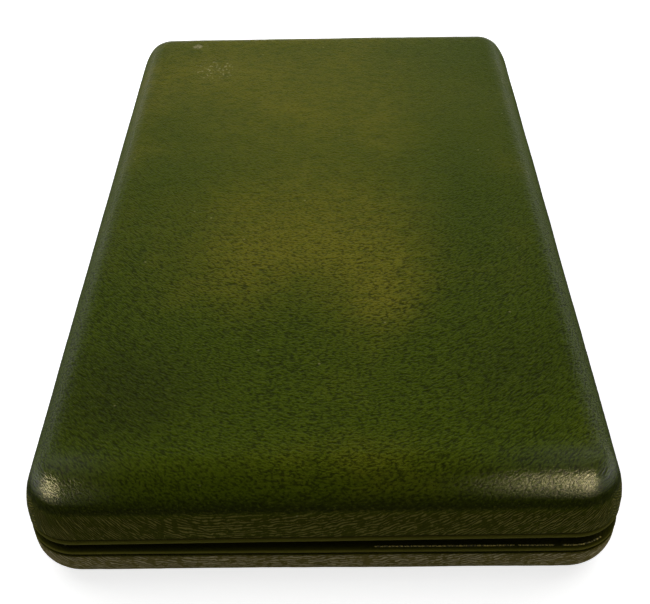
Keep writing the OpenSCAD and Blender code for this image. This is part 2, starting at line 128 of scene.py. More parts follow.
def emptyTree(owner):
    # clears a material's or world's tree and gives the function that adds to it
    owner.use_nodes = True
    owner.node_tree.nodes.clear()
    return functools.partial(addNode, owner.node_tree)


def millimetres(add, scale=(1, 1, 1)):
    # the place on the object in millimetres, times a scale for each axis
    place = add("TexCoord", (), "Object")
    factor = tuple(s / mm for s in scale)
    return add("VectorMath", (place, factor), 0, **times)


def addObject(name, data):
    thing = bpy.data.objects.new(name, data)
    scene.collection.objects.link(thing)
    return thing


def inMetres(change):
    # a change worked out in millimetres, for a mesh in metres
    return Matrix.Scale(mm, 4) @ change @ Matrix.Scale(1 / mm, 4)


def mendMesh(mesh, weld):
    solid = bmesh.new()
    solid.from_mesh(mesh)
    if weld:
        bmesh.ops.remove_doubles(solid, verts=solid.verts, dist=0.002 * mm)
        bmesh.ops.dissolve_degenerate(solid, edges=solid.edges, dist=0.001 * mm)
    bmesh.ops.recalc_face_normals(solid, faces=solid.faces)
    solid.to_mesh(mesh)
    solid.free()


def fade(values, start, full):
    return np.clip((values - start) / (full - start), 0, 1)


# Materials: each function adds a finish's pattern to a tree and gives the shader's inputs

eased = {"interpolation_type": "SMOOTHSTEP"}
inColour = {"data_type": "RGBA"}
times, plus, timesPlus = ({"operation": name} for name in ("MULTIPLY", "ADD", "MULTIPLY_ADD"))

# Goatskin, dyed green, tooled and waxed: a pebbled grain with dark valleys, drawn into fine
# wrinkles where it was pulled round the sides. Handling has browned it and polished its corners.
goatskin = {
    "green": "4a5b01",
    "brown": "807d1a",
    "deep": "2b3600",  # where it is least faded
    "valley": "161c00",
    "bend": "0d1200",  # painted shade of the dark band where it turns down the sides
    "rim": "101303",  # the rims: painted shade of the gap between lid and base
    # the bead: painted light, lighter as if lit from the floor below
    "bead": "5a561f",
    "groove": "060700",  # painted shade in the crease
    "lidSide": "3a380b",
    # the base's sides: leather rubbed brown, painted lighter as light from the floor below
    "baseSide": "84764a",
    # painted highlight on the crests of the top's grain
    "crest": "616b1a",
    "speck": "a7a36c",
    "scuff": "b7af80",
    "pebble": (1.25, 0.72, 0.72),  # mm, drawn out across the case
    "rowCurve": 160.0,  # mm, how the rows of pebbles curve up towards the corners
    "pebbleHeight": 2.0,  # mm, for the whole range of the grain's pattern
    "wrinkle": (3.4, 1.15),  # mm, length and pitch on the sides
    # painted highlights on the ridges of the wrinkles on the sides
    "lidRidge": "7d763a",
    "baseRidge": "c4b890",
    "pore": 0.35,  # mm
    "roughness": 0.38,
    "edgeRoughness": 0.92,  # duller where the skin was stretched over the edges
    "ior": 1.4,
    "specular": 0.1,  # the wax lies thin on it, and is polished at the corners
    "waxTint": "dfe47a",  # of its shine
    "polish": 0.26,  # roughness there
    "waxHeight": 0.22,  # mm, as pebbleHeight, in the polish
    "scuffAt": (-61.3, 126.5),  # the pale scuff near the hinge side's far corner
    "fleckAt": (-50.8, 103.0),  # and the flecks beside it
}
coverFacts = ("side", "across", "patina", "polish", "pressed", "bend", "rubbed", "rim", "groove",
              "edge")


def goatskinFinish(add, look, part, patinaShare=1.0):
    side, across, patina, polish, pressed, bend, rubbed, rim, groove, edge = (
        add("Attribute", (), "Fac", attribute_name=name) for name in coverFacts)
    place = millimetres(add)
    x, y, z = add("SeparateXYZ", (place,)).outputs

    # Pebbled grain
    square = add("Math", (x, x), 0, **times)
    curved = add("Math", (square, -1 / look["rowCurve"], y), 0, **timesPlus)
    flowing = add("CombineXYZ", (x, curved, z), 0)
    pebbleScale = tuple(1 / size for size in look["pebble"])
    stretched = add("VectorMath", (flowing, pebbleScale), 0, **times)
    wander = add("TexNoise", {"Vector": place, "Scale": 0.3}, "Color")
    warped = add("VectorMath", (stretched, wander), 0, **plus)
    cells = add("TexVoronoi", {"Vector": warped, "Scale": 1.0, "Smoothness": 0.45}, "Distance",
                feature="SMOOTH_F1")
    rounded = add("Math", (0.95, cells), 0, operation="SUBTRACT")
    lumps = add("TexNoise", {"Vector": stretched, "Scale": 1.0, "Detail": 3.0, "Roughness": 0.55,
                             "Distortion": 0.5}, 0)
    pebbles = add("Mix", {0: 0.3, 2: lumps, 3: rounded}, 0)

    # Wrinkles of the sides: rows that wander, join and break off
    longSide, pitch = look["wrinkle"]
    placed = add("CombineXYZ", (x, y, across), 0)
    drawn = add("VectorMath", (placed, (1 / longSide, 1 / longSide, 0.5 / pitch)), 0, **times)
    swing = add("TexNoise", {"Vector": drawn, "Scale": 1.0, "Detail": 1.5, "Distortion": 0.3}, 0)
    wandering = add("Math", (swing, 14.0), 0, **times)
    turned = add("Math", (across, math.tau / pitch, wandering), 0, **timesPlus)
    row = add("Math", (turned,), 0, operation="SINE")
    other = add("VectorMath", (drawn, (1.7, 1.7, 1.2)), 0, **times)
    breaks = add("TexNoise", {"Vector": other, "Scale": 1.0}, 0)
    broken = add("MapRange", (breaks, 0.33, 0.57, 0.1, 1.0), 0, **eased)
    raised = add("Math", (row, 0.115, 0.115), 0, **timesPlus)
    folds = add("Math", (raised, broken, 0.44), 0, **timesPlus)
    grain = add("Mix", {0: side, 2: pebbles, 3: folds}, 0)

    # the tooled bead and rim are pressed smooth
    smooth = add("Math", (pressed, 0.8), 0, **times)
    grain = add("Mix", {0: smooth, 2: grain, 3: 0.52}, 0)
    pores = add("TexNoise", {"Vector": place, "Scale": 1 / look["pore"], "Detail": 1.0}, 0)
    height = add("Math", (pores, 0.1, grain), 0, **timesPlus)
    bump, waxed = (
        add("Bump", {"Height": height, "Strength": 1.0, "Distance": size * mm}, 0)
        for size in (look["pebbleHeight"], look["waxHeight"]))

    # Handling and fading
    cloud = add("TexNoise", {"Vector": place, "Scale": 1 / 38, "Detail": 4.0, "Roughness": 0.6,
                             "Distortion": 0.4}, 0)
    clouded = add("MapRange", (cloud, 0.45, 0.8, 0.0, 0.3), 0, **eased)
    handled = add("Math", (patina, clouded), 0, **plus)
    streaks = add("TexNoise", {"Vector": millimetres(add, (1 / 6, 1 / 3, 1 / 3)), "Scale": 1.0,
                               "Detail": 4.0, "Roughness": 0.65}, 0)
    streaked = add("MapRange", (streaks, 0.2, 0.62, 0.45 * patinaShare, patinaShare), 0, **eased)
    worn = add("Math", (handled, streaked), 0, **times)

    # The height of the grain darkens its valleys, less so towards the far end, and lightens its ridges and crests
    # as painted highlights
    ridgeHighlight, crestHighlight, hollows, valleyStrength, brown, deep = (
        add("MapRange", limits, 0, **eased)
        for limits in ((height, 0.54, 0.70, 0.0, 0.75), (height, 0.57, 0.74, 0.0, 0.4),
                       (height, 0.39, 0.60, 0.75, 0.0), (rubbed, 0.0, 1.0, 1.0, 0.4),
                       (worn, 0.0, 1.0), (patina, 0.0, -1.0)))
    valleys = add("Math", (hollows, valleyStrength), 0, **times)
    # the base's sides are painted lighter, as light from the floor, over leather rubbed brown
    sideTone = add("Math", (side, 0.75), 0, **times)
    sideRidgeHighlight = add("Math", (ridgeHighlight, side), 0, **times)
    topCrestHighlight = add("Math", (crestHighlight, side), 0, operation="SUBTRACT", use_clamp=True)
    # painted light on the bead, from the floor below, and painted shade on the rims, of the gap between lid and
    # base
    beadRimShare = add("Math", (pressed, 0.85), 0, **times)
    beadLightRimShade = add("Mix", {0: rim, 6: look["bead"], 7: look["rim"]}, 2, **inColour)
    layers = [(deep, look["deep"]), (brown, look["brown"]),
              # painted shade where the sides turn down
              (sideTone, look[f"{part}Side"]), (bend, look["bend"]),
              (sideRidgeHighlight, look[f"{part}Ridge"]), (topCrestHighlight, look["crest"]),
              # painted shade in the crease
              (valleys, look["valley"]), (beadRimShare, beadLightRimShade), (groove, look["groove"])]

    # Pale specks where the grain is chipped, a scuff and some flecks near the far corner
    specks = add("TexVoronoi", {"Vector": place, "Scale": 1 / 7}).outputs
    rare = add("SeparateColor", (specks["Color"],), 0)
    torn = add("TexNoise", {"Vector": millimetres(add, (0.8, 0.6, 0.6)), "Scale": 1.0,
                            "Detail": 3.0}, 0)
    marks = [((rare, 0.72, 0.78), (specks["Distance"], 0.085, 0.03, 0.0, 0.55), "speck")]
    for spot, reach, least in ((look["scuffAt"], 3.0, 0.38), (look["fleckAt"], 12.0, 0.56)):
        away = add("VectorMath", (place, (*spot, 45.2)), "Value", operation="DISTANCE")
        marks.append(((torn, least, least + 0.1), (away, reach, 0.5 * reach, 0.0, 0.75), "scuff"))
    for first, second, tone in marks:
        shares = [add("MapRange", limits, 0, **eased) for limits in (first, second)]
        layers.append((add("Math", shares, 0, **times), goatskin[tone]))
    colour = look["green"]
    for amount, layer in layers:
        colour = add("Mix", {0: amount, 6: colour, 7: layer}, 2, **inColour)

    shine = add("Mix", {0: edge, 2: look["roughness"], 3: look["edgeRoughness"]}, 0)
    dulled = add("Math", (valleys, 0.05, shine), 0, **timesPlus)
    return {"Base Color": colour, "Roughness": dulled, "Normal": bump, "IOR": look["ior"],
            "Specular IOR Level": look["specular"], "Specular Tint": look["waxTint"],
            "Coat Weight": polish, "Coat Roughness": look["polish"], "Coat Normal": waxed}


# The other finishes go from a light tone to a dark one, by the sum of their patterns. A pattern is
# (kind, size in mm along the axes, inputs, settings, shade, share of the relief), and its shade is
# a plain share of the tone, or (from, to, least, most). "linked" inputs follow the first pattern.

beech = {  # planed: pale pink-brown with short dark flecks along the grain
    "light": "c9a478", "dark": "a57c50", "relief": 0.05, "strength": 0.4,
    "patterns": [
        ("TexWave", (3.2, 50, 3.2), {
            "Scale": 0.6, "Distortion": 3.0, "Detail": 3.0, "Detail Scale": 0.8}, {}, 0.55, 0.55),
        ("TexNoise", (0.5, 3.5, 0.5), {}, {}, (0.55, 0.75, 0.0, 0.45), 0.45)],
    "shader": {"Roughness": 0.55, "IOR": 1.5}}
velvet = {  # cotton, with a cut pile: dark face on, bright at its folds, pressed in patches
    "light": "1f3120", "dark": "304630", "relief": 0.25, "strength": 0.8,
    "patterns": [
        ("TexNoise", (22, 22, 22), {"Detail": 4.0, "Roughness": 0.6, "Distortion": 0.8}, {},
         (0.4, 0.68, 0.0, 0.6), 0.0),
        ("TexNoise", (0.45, 0.45, 0.45), {"Roughness": 0.7}, {}, 0.45, 1.0)],
    "shader": {"Roughness": 0.9, "Sheen Weight": 0.7, "Sheen Roughness": 0.35,
               "Sheen Tint": "8fa986"}}
silk = {  # with a thick weft: its ribs are 0.45 mm, drawn at 0.8 so that they show
    "light": "7d8c55", "dark": "55673a", "relief": 0.1, "strength": 0.7,
    "patterns": [
        ("TexNoise", (14, 1.2, 3), {"Detail": 3.0, "Roughness": 0.6}, {},
         (0.35, 0.7, 0.0, 0.5), 0.6),
        ("TexNoise", (26, 9, 12), {"Detail": 3.0, "Roughness": 0.55, "Distortion": 1.2}, {},
         (0.4, 0.6, 0.0, 0.5), 0.0),
        ("TexWave", (50, 0.8, 1 / 0.3), {
            "Scale": 2 / math.tau, "Distortion": 0.25, "Detail": 1.0},
         {"bands_direction": "Y"}, 0.0, 1.0)],
    "shader": {"Roughness": 0.38, "Sheen Weight": 0.35, "Sheen Tint": "c4cf9c"}}
giltBrass = {  # rubbed: bright gold, browner where dirt has stayed, with fine scratches
    "light": "d9b26a", "dark": "7d5a2b", "relief": 0.02, "strength": 0.25,
    "patterns": [
        ("TexNoise", (2.4, 2.4, 2.4), {"Detail": 4.0, "Roughness": 0.65}, {},
         (0.48, 0.72, 0.0, 0.75), 0.0),
        ("TexNoise", (0.12, 3.0, 0.12), {}, {}, 0.0, 1.0)],
    "linked": {"Roughness": (0.3, 0.75, 0.26, 0.5)},
    "shader": {"Metallic": 1.0}}
goldLeaf = {  # in a tooled line, rubbed and broken, with the leather's green between
    "light": "2a3009", "dark": "cdbb60", "relief": 0.12, "strength": 0.8,
    "patterns": [
        ("TexNoise", (0.8, 0.8, 0.8), {"Detail": 3.0, "Roughness": 0.7}, {},
         (0.55, 0.43, 0.0, 1.0), 1.0)],
    "linked": {"Metallic": (0.55, 0.43, 0.0, 0.35)},
    "shader": {"Roughness": 0.34}}
greyBoard = {  # pressed from paper pulp: matt, with short fibres
    "light": "a8a292", "dark": "8d8776", "relief": 0.06, "strength": 0.5,
    "patterns": [
        ("TexNoise", (0.6, 0.6, 0.6), {"Detail": 4.0, "Roughness": 0.7, "Distortion": 1.5}, {},
         1.0, 1.0)],
    "shader": {"Roughness": 0.85}}
wadding = {  # carded cotton: soft white fibres
    "light": "e2dccb", "dark": "c9c1ac", "relief": 0.3, "strength": 1.0,
    "patterns": [
        ("TexNoise", (0.9, 0.9, 0.9), {"Detail": 5.0, "Roughness": 0.75, "Distortion": 2.0}, {},
         1.0, 1.0)],
    "shader": {"Roughness": 0.95}}
drawnSteel = {  # wire and rod: grey, with lines along the drawing
    "light": "9c9ea3", "dark": "6d6f74", "relief": 0.02, "strength": 0.3,
    "patterns": [("TexNoise", (0.15, 4.0, 0.15), {"Detail": 3.0, "Roughness": 0.6}, {}, 1.0, 1.0)],
    "shader": {"Metallic": 1.0, "Roughness": 0.32}}


def patternFinish(add, look):
    first, tone, height = None, 0.0, 0.0
    for kind, size, inputs, settings, shade, share in look["patterns"]:
        vector = millimetres(add, tuple(1 / part for part in size))
        pattern = add(kind, {"Vector": vector, "Scale": 1.0, **inputs}, "Fac", **settings)
        first = pattern if first is None else first
        if isinstance(shade, tuple):
            tone = add("Math", (add("MapRange", (pattern, *shade), 0, **eased), tone), 0, **plus)
        else:
            tone = add("Math", (pattern, shade, tone), 0, **timesPlus)
        height = add("Math", (pattern, share, height), 0, **timesPlus)
    colour = add("Mix", {0: tone, 6: look["light"], 7: look["dark"]}, 2, **inColour)
    bump = add("Bump", {"Height": height, "Strength": look["strength"],
                        "Distance": look["relief"] * mm}, 0)
    linked = {name: add("MapRange", (first, *limits), 0, **eased) for name,
              limits in look.get("linked", {}).items()}
    return {"Base Color": colour, "Normal": bump, **look["shader"], **linked}


def makeMaterial(name, finish, look, *details):
    material = bpy.data.materials.new(name)
    add = emptyTree(material)
    shader = add("BsdfPrincipled", finish(add, look, *details), "BSDF")
    add("OutputMaterial", (shader,))
    return material


lidGoatskin = makeMaterial("goatskinPebbled", goatskinFinish, goatskin, "lid")
baseGoatskin = makeMaterial("goatskinRubbed", goatskinFinish, goatskin, "base")
goldLeafMaterial = makeMaterial("goldLeafTooled", patternFinish, goldLeaf)
materialOf = {
    "green_leather": makeMaterial("goatskinUnderside", goatskinFinish, goatskin, "base", 0.6)}
for slotName, name, look in (
        ("pale_wood", "beechPlaned", beech), ("green_velvet", "velvetCutPile", velvet),
        ("green_silk", "silkRibbed", silk), ("grey_card", "greyBoardPressed", greyBoard),
        ("white_wadding", "cottonWaddingCarded", wadding), ("gilt_brass", "brassGilt", giltBrass),
        ("pin_steel", "steelDrawn", drawnSteel)):
    materialOf[slotName] = makeMaterial(name, patternFinish, look)
for part in frame["record"]["subparts"]:
    mesh = frame["nodes"][part["node"]].data
    mesh.materials.clear()
    mesh.materials.append(materialOf[part["material_slot"]])
print("materials made")


# Leather covers, swept round the case from a section in the shut case

def turnedEdge(rimWidth, shellHeight):
    # the rim, its rolled bead and the crease, from the cavity outwards: (inset, distance from the
    # flat face). A section's first number is the distance in from the outer face.
    roll = case["bead"] / 2
    depth = case["creaseDepth"]
    rim = [(inset, shellHeight) for inset in np.linspace(rimWidth, roll, 9)]
    bead = [(roll - roll * math.sin(a), shellHeight - roll + roll * math.cos(a))
            for a in np.radians(np.linspace(0, 148, 14))[1:]]
    crease = [(share * depth, shellHeight - case["bead"] - away)
              for share, away in ((1.0, 0.0), (0.85, 0.14), (0.4, 0.26), (0.12, 0.42), (0.0, 0.7))]
    return rim + bead + crease


def lidEdge(skin, steps):
    # the wide arc up the side and the tighter one that runs into the top
    inward, down, tight = case["topIn"], case["topDown"], case["topRadius"]
    wide = (inward ** 2 - tight ** 2 + (down - tight) ** 2) / (2 * (inward - tight))
    lean = math.atan2(down - tight, wide - inward)
    side = [(wide - (wide - skin) * math.cos(a), down - (wide - skin) * math.sin(a))
            for a in np.linspace(0, lean, steps)]
    top = [(inward - (tight - skin) * math.cos(a), tight - (tight - skin) * math.sin(a))
           for a in np.linspace(lean, math.pi / 2, steps // 2)[1:]]
    return side + top


def baseEdge(skin, steps):
    radius = case["bottomRadius"]
    return [(radius - (radius - skin) * math.cos(a), radius - (radius - skin) * math.sin(a))
            for a in np.linspace(0, math.pi / 2, steps)]


def planColumns(detail):
    # where each section of a sweep stands: its centre, its direction outwards, and how much
    # longer that direction is in a square corner than in a round one
    radius, cornerSteps = case["planRadius"], detail["cornerSteps"]
    halves = (width / 2 - radius, length / 2 - radius)
    columns = []
    for quarter in range(4):
        turn = quarter * math.pi / 2
        outward = np.array((round(math.cos(turn)), round(math.sin(turn))))
        along = np.array((-outward[1], outward[0]))
        reach, run = halves[quarter % 2], halves[1 - quarter % 2]
        count = round(2 * run / detail["step"])
        for i in range(count):
            columns.append((*(outward * reach + along * run * (2 * i / count - 1)), *outward, 1.0))
        for i in range(cornerSteps):
            angle = math.pi / 2 * i / cornerSteps
            direction = outward * math.cos(angle) + along * math.sin(angle)
            square = 1 / max(math.cos(angle), math.sin(angle))
            columns.append((*(outward * reach + along * run), *direction, square))
    return np.array(columns)


def ringAt(columns, inset, height, square):
    # a loop round the case: square is 0 for the round corners of the outside, 1 for the cavity's
    stretch = (case["planRadius"] - inset) * (1 + square * (columns[:, 4] - 1))
    x = columns[:, 0] + columns[:, 2] * stretch
    y = columns[:, 1] + columns[:, 3] * stretch
    x = np.clip(x, inset - width / 2, width / 2 - inset)
    y = np.clip(y, inset - length / 2, length / 2 - inset)
    return np.column_stack([x, y, np.full(len(x), height)])


def gridFaces(index):
    # the four-sided faces of a grid of point numbers
    corners = [index[:-1, :-1], index[:-1, 1:], index[1:, 1:], index[1:, :-1]]
    return np.stack(corners, -1).reshape(-1, 4).tolist()


def joinRings(count, rings, closed):
    # faces between neighbouring loops of that many points
    index = np.arange(rings * count).reshape(rings, count)
    return gridFaces(np.pad(index, ((0, int(closed)), (0, 1)), mode="wrap"))


def tubeFaces(first, sides, rings):
    # a tube of that many loops, closed at both ends, from that point on
    last = (rings - 1) * sides
    faces = joinRings(sides, rings, False) + [range(sides), range(last, last + sides)]
    return [tuple(first + i for i in face) for face in faces]


def capLoop(points, faces, start, loop, detail, dome=0.0):
    # fills the loop that starts at that point with a grid, from corner to corner, raises its
    # middle a little, and returns the longer list of points
    across, along = (round(2 * (size / 2 - case["planRadius"]) / detail["step"])
                     for size in (width, length))
    half, count = detail["cornerSteps"] // 2, len(loop)
    across, along, at, sides = across + 2 * half, along + 2 * half, -half, []
    for steps in (along, across, along, across):
        sides.append(np.arange(at, at + steps + 1) % count)
        at += steps
    right, top, left, bottom = sides
    left, top = left[::-1], top[::-1]
    spots = loop[:, :2]
    u = np.linspace(0, 1, across + 1)[None, :, None]
    v = np.linspace(0, 1, along + 1)[:, None, None]
    low, high = spots[bottom][None], spots[top][None]
    west, east = spots[left][:, None], spots[right][:, None]
    grid = ((1 - v) * low + v * high + (1 - u) * west + u * east
            - (1 - u) * (1 - v) * spots[bottom[0]] - u * (1 - v) * spots[bottom[-1]]
            - (1 - u) * v * spots[top[0]] - u * v * spots[top[-1]])
    rise = dome * (16 * u * (1 - u) * v * (1 - v)) ** 1.5
    inner = np.dstack([grid, loop[0, 2] + rise])[1:-1, 1:-1]
    index = np.empty((along + 1, across + 1), int)
    index[0], index[-1] = start + bottom, start + top
    index[:, 0], index[:, -1] = start + left, start + right
    index[1:-1, 1:-1] = len(points) + np.arange(inner[..., 0].size).reshape(inner.shape[:2])
    faces += gridFaces(index)
    return np.vstack([points, inner.reshape(-1, 3)])


def makePiece(name, points, faces, body, slotName, replaced=(), turn=None, material=None):
    # a piece from points in millimetres, which rides on a body and takes a slot's finish
    mesh = bpy.data.meshes.new(name)
    mesh.from_pydata([tuple(p) for p in np.asarray(points) * mm], [], faces)
    mesh.validate()
    piece = addObject(name, mesh)
    mendMesh(mesh, True)
    if turn:
        mesh.transform(inMetres(turn))
    finishPiece(piece, body, slotName, replaced, material)
    return piece


def finishPiece(piece, body, slotName, replaced=(), material=None, sharp=sharpAngle):
    mesh = piece.data
    mesh.shade_smooth()
    mesh.set_sharp_from_angle(angle=math.radians(sharp))
    mesh.materials.clear()
    mesh.materials.append(material or materialOf[slotName])
    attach(piece, body)
    if replaced:
        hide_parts(*replaced)


def coordinates(mesh):
    values = np.empty(len(mesh.vertices) * 3)
    mesh.vertices.foreach_get("co", values)
    return values.reshape(-1, 3)


def cutAway(piece, cutters):
    # each cutter is (low corner, high corner) of a block, or (centre, radius, half length, axis)
    for cutter in cutters:
        solid = bmesh.new()
        if len(cutter) == 2:
            low, high = Vector(cutter[0]), Vector(cutter[1])
            bmesh.ops.create_cube(solid, size=1)
            size = high - low
            place = Matrix.Translation((low + high) / 2) @ Matrix.Diagonal((*size, 1))
        else:
            centre, radius, half, axis = cutter
            bmesh.ops.create_cone(solid, cap_ends=True, segments=48, radius1=radius,
                                  radius2=radius, depth=2 * half)
            lay = Matrix.Rotation(math.pi / 2, 4, "X" if axis == "Y" else "Y")
            place = Matrix.Translation(Vector(centre)) @ lay
        solid.transform(Matrix.Scale(mm, 4) @ place)
        mesh = bpy.data.meshes.new("cutter")
        solid.to_mesh(mesh)
        solid.free()
        tool = addObject("cutter", mesh)
        cut = piece.modifiers.new("cut", "BOOLEAN")
        cut.operation = "DIFFERENCE"
        cut.solver = "EXACT"
        cut.object = tool
        bpy.context.view_layer.update()
        result = bpy.data.meshes.new_from_object(piece.evaluated_get(
            bpy.context.evaluated_depsgraph_get()))
        piece.modifiers.clear()
        piece.data = result
        bpy.data.objects.remove(tool)
        bpy.data.meshes.remove(mesh)


# Leather covers

coverDetail = {
    "step": 1.1,  # mm between sections along the sides
    "cornerSteps": 20,
    "dome": 0.5,  # mm that the padded top rises in the middle
    # unevenness that the mesh carries: (size in mm, height in mm, level of the pattern left as is)
    "swell": ((27, 27, 19), 0.16, 0.35),  # slow, of the wadding and the glue
    "grain": ((2.6, 1.9, 2.2), 0.07, 0.3),  # the grain's lumps
    "wrinkle": ((8, 8, 1.7), 0.07, 0.3),  # the wrinkles of the sides
    "holdOver": 4.0,  # mm, past the rim, which stays true
    "rise": 60.0,  # mm that a wrinkle climbs from a side's middle to its corner
    "climb": {"base": -0.45, "lid": 1.0},  # times that
    "across": 0.6,  # how much the distance in counts across the wrinkles
    "turn": -32.0,  # mm from the middle, where the wrinkles of the short sides lie level
}


def sideFacts(points, body):
    # for points in the shut case: the distance in from the outer face, the distance from the rim
    # and the distance across the wrinkles, which climb to the corners, less so on the base
    radius = case["planRadius"]
    halfX, halfY = width / 2 - radius, length / 2 - radius
    x, y = np.abs(points[:, 0]), np.abs(points[:, 1])
    dx, dy = x - halfX, y - halfY
    inset = radius - np.where((dx > 0) & (dy > 0), np.hypot(dx, dy), np.maximum(dx, dy))
    angle = np.arctan2(np.maximum(dy, 0), np.maximum(dx, 1e-6))
    arc = radius * math.pi / 4
    shareLong = (np.minimum(y, halfY) + radius * np.minimum(angle, math.pi / 4) * (dy > 0))
    shareShort = (np.minimum(x, halfX) + radius * np.minimum(math.pi / 2 - angle, math.pi / 4)
                  * (dx > 0)) * np.sign(points[:, 0])
    turn = coverDetail["turn"]
    short = np.abs(shareShort - turn) / (halfX + arc - np.sign(shareShort - turn) * turn)
    share = np.where(dx > dy, shareLong / (halfY + arc), short)
    rim, upwards = rims[body]
    up = (points[:, 2] - rim) * upwards
    climb = coverDetail["rise"] * share ** 2 * coverDetail["climb"][body]
    return inset, up, up + coverDetail["across"] * inset - climb


def roughen(points, normals, body, seed):
    # moves the outside of a cover by a few hundredths of a millimetre along its normals
    up, across = sideFacts(points, body)[1:]
    hold = np.clip(up / coverDetail["holdOver"], 0.1, 1.0)
    upright = 1 - np.abs(normals[:, 2])
    folded = np.column_stack([points[:, :2], across])
    amount = 0.0
    for kind, places, shift, share in (
            ("swell", points, (seed, 0, 0), 1.0), ("grain", points, (0, seed, 0), 1 - upright),
            ("wrinkle", folded, (0, 0, seed), upright)):
        size, tall, level = coverDetail[kind]
        pattern = np.array([noise.noise(Vector(place)) for place in places / size + shift])
        amount = amount + tall * (pattern - level) * share
    return points + normals * (amount * hold)[:, None]


# Where each kind of wear, and each painted shade, starts and where it is full: mm from the rim, or in from the
# outer face
coverWear = {
    "lidSide": (14.0, 10.5), "baseSide": (99.0, 95.5),  # wrinkles, at the top
    "lidFoot": (2.4, 2.9), "baseFoot": (2.6, 3.1),  # and next to the bead
    "sideInset": 7,
    "pressed": (2.9, 2.3),
    # painted shade of the band where the sides turn down, and its share
    "bend": ((11.6, 12.6), (18.8, 13.8)),
    "bendShare": 0.8,
    "rubbed": (-70, 50),  # along the case: the valleys grow fainter towards the far end
    # painted shade in the crease below the bead
    "groove": (0.1, 0.45),  # past the bead, and how wide
    "grooveShare": 0.95,
    # where the rims take their painted shade
    "rimFacing": (0.5, 1.0), "baseRimUp": (0.8, 0.45),
    "cavity": 9,  # farther in than this, the leather is the cavity's edge
    "edge": (9, 3),
    "polishAt": (-12, -6),  # mm in from the corner, across and along
    "polishReach": (13, 23, 6),  # mm: at the hinge side, at the button side, along
    "polishUp": (15, 19),
    "polishShare": 0.8,
}


def paintCover(piece, body, blobs):
    # point attributes that the leather's material reads, in the shut case
    points = coordinates(piece.data) / mm
    inset, up, across = sideFacts(points, body)
    wear = coverWear
    side = fade(up, *wear[f"{body}Side"]) * fade(up, *wear[f"{body}Foot"])
    side = side * side * (3 - 2 * side) * (inset < wear["sideInset"])
    inCavity = inset > wear["cavity"]
    pressed = np.maximum(fade(up, *wear["pressed"]), inCavity & (up < 8))
    patina = np.zeros(len(points))
    for x, y, reachX, reachY, strength in blobs:
        away = ((points[:, 0] - x) / reachX) ** 2 + ((points[:, 1] - y) / reachY) ** 2
        patina += strength * np.exp(-away)
    patina = np.clip(patina, -1, 1)
    # painted shade along the band where the sides turn down
    foot, head = wear["bend"]
    bend = wear["bendShare"] * fade(up, *foot) * fade(up, *head)
    # the valleys grow fainter towards the far end
    rubbed = fade(points[:, 1], *wear["rubbed"])
    # painted shade in the crease below the bead
    past, wide = wear["groove"]
    groove = wear["grooveShare"] * np.exp(-((up - case["bead"] - past) / wide) ** 2) * (inset < 2)
    # the rims take the painted shade of the gap between lid and base
    facing = fade(inset, *wear["rimFacing"]) if body == "lid" else fade(up, *wear["baseRimUp"])
    shadedRim = facing * ((up < 1) | inCavity)
    edge = fade(inset, *wear["edge"])
    x, y = np.abs(points[:, 0]) - width / 2, np.abs(points[:, 1]) - length / 2
    atX, atY = wear["polishAt"]
    left, right, along = wear["polishReach"]
    reach = np.where(points[:, 0] > 0, right, left)
    polish = wear["polishShare"] * np.exp(-((x - atX) / reach) ** 2 - ((y - atY) / along) ** 2)
    polish *= fade(up, *wear["polishUp"]) * (body == "lid")
    facts = (side, across, patina, polish, pressed, bend, rubbed, shadedRim, groove, edge)
    for name, values in zip(coverFacts, facts):
        layer = piece.data.attributes.new(name, "FLOAT", "POINT")
        layer.data.foreach_set("value", values.astype(np.float32))


def coverLoops(columns, section, squared, rimWidth):
    # a loop for each (inset, height). The rim's own loops turn square towards the cavity.
    return [ringAt(columns, inset, height,
                   fade(inset, case["squareFrom"], rimWidth) if number in squared else 0.0)
            for number, (inset, height) in enumerate(section)]


def lidCover(detail, cardEdge):
    columns = planColumns(detail)
    count = len(columns)
    top = case["height"]
    # outside, from the top's edge down to the rim's inner edge: (inset, depth below the top)
    outside = lidEdge(0.0, 26)[::-1]
    outside += [(0.0, (outside[-1][1] + lidHeight - case["bead"] - 0.8) / 2)]
    inner = case["lidRim"] + case["turnIn"]
    outside += turnedEdge(inner, lidHeight)[::-1]
    inside = [(inner, top - cardEdge), (case["lidRim"], top - cardEdge)]
    inside += [(inset, lidHeight - case["turned"]) for inset in (case["lidRim"], case["leather"])]
    inside += lidEdge(case["leather"], 12)
    rings = coverLoops(columns, [(inset, top - depth) for inset, depth in outside + inside],
                       range(len(outside) - 9, len(outside) + 3), case["lidRim"])
    points = np.vstack(rings)
    faces = joinRings(count, len(rings), False)
    points = capLoop(points, faces, 0, rings[0], detail, detail["dome"])
    outer = np.r_[:len(outside) * count, len(rings) * count:len(points)]
    points = capLoop(points, faces, (len(rings) - 1) * count, rings[-1], detail)
    points[outer] = roughen(points[outer], outwardNormals(points, faces)[outer], "lid", 3.7)
    return points, faces


def outwardNormals(points, faces):
    mesh = bpy.data.meshes.new("normals")
    mesh.from_pydata([tuple(p) for p in points], [], faces)
    solid = bmesh.new()
    solid.from_mesh(mesh)
    bmesh.ops.recalc_face_normals(solid, faces=solid.faces)
    solid.normal_update()
    normals = np.array([tuple(v.normal) for v in solid.verts])
    solid.free()
    bpy.data.meshes.remove(mesh)
    return normals


